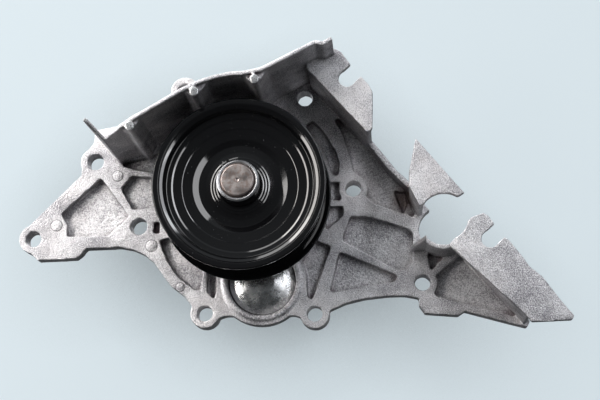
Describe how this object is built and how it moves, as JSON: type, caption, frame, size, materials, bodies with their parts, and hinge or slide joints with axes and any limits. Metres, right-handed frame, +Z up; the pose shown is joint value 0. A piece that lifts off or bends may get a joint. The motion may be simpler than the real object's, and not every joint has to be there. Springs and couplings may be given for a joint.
{
  "type": "engine water pump",
  "caption": "Belt-driven engine coolant pump: ribbed cast cover plate with belt-guard walls, black drum pulley on a ball bearing shaft, face seal and vaned impeller.",
  "frame": {"origin": "on the shaft axis, in the plane of the engine mounting face", "axes": "+Y runs along the shaft into the engine, the pulley faces -Y, +X is to the right seen from the pulley side and +Z is up"},
  "size_m": [0.2607, 0.095, 0.1299],
  "materials": {
    "cast_alloy": "shot-blasted die casting",
    "zinc_plate": "bright zinc plate",
    "gasket_rubber": "matt",
    "bearing_steel": "ground",
    "seal_rubber": "matt",
    "cage_brass": "satin",
    "ball_steel": "polished",
    "shaft_steel": "turned end face, lightly browned",
    "hub_steel": "bright turned edge",
    "black_paint": "gloss black coating",
    "seal_brass": "drawn",
    "carbon": "lapped carbon",
    "ceramic_ring": "lapped",
    "hub_brass": "turned",
    "impeller_steel": "pressed sheet"
  },
  "bodies": {
    "base": {"housing": "cast_alloy", "core_plug": "zinc_plate", "flange_gasket": "gasket_rubber", "bearing_outer_ring": "bearing_steel", "front_bearing_seal": "seal_rubber", "rear_bearing_seal": "seal_rubber", "seal_case": "seal_brass", "seal_spring": "ball_steel", "seal_bellows": "seal_rubber", "carbon_ring": "carbon"},
    "rotor": {"pump_shaft": "shaft_steel", "pulley_hub": "hub_steel", "pulley": "black_paint", "pulley_rear_flange": "black_paint", "mating_ring": "ceramic_ring", "mating_ring_cup": "seal_rubber", "water_slinger": "seal_rubber", "impeller_hub": "hub_brass", "impeller": "impeller_steel"},
    "front_ball_set": {"front_cage": "cage_brass", "front_balls": "ball_steel"},
    "rear_ball_set": {"rear_cage": "cage_brass", "rear_balls": "ball_steel"}
  },
  "joints": [
    {"name": "shaft_spin", "type": "hinge", "parent": "base", "child": "rotor", "pos_m": [0, 0, 0], "axis": [0, 1, 0], "continuous": true},
    {"name": "front_cage_spin", "type": "hinge", "parent": "base", "child": "front_ball_set", "pos_m": [0, -0.031, 0], "axis": [0, 1, 0], "continuous": true},
    {"name": "rear_cage_spin", "type": "hinge", "parent": "base", "child": "rear_ball_set", "pos_m": [0, -0.0205, 0], "axis": [0, 1, 0], "continuous": true}
  ],
  "couplings": [
    {"joint": "front_cage_spin", "follows": "shaft_spin", "ratio": 0.35222},
    {"joint": "rear_cage_spin", "follows": "shaft_spin", "ratio": 0.35222}
  ]
}
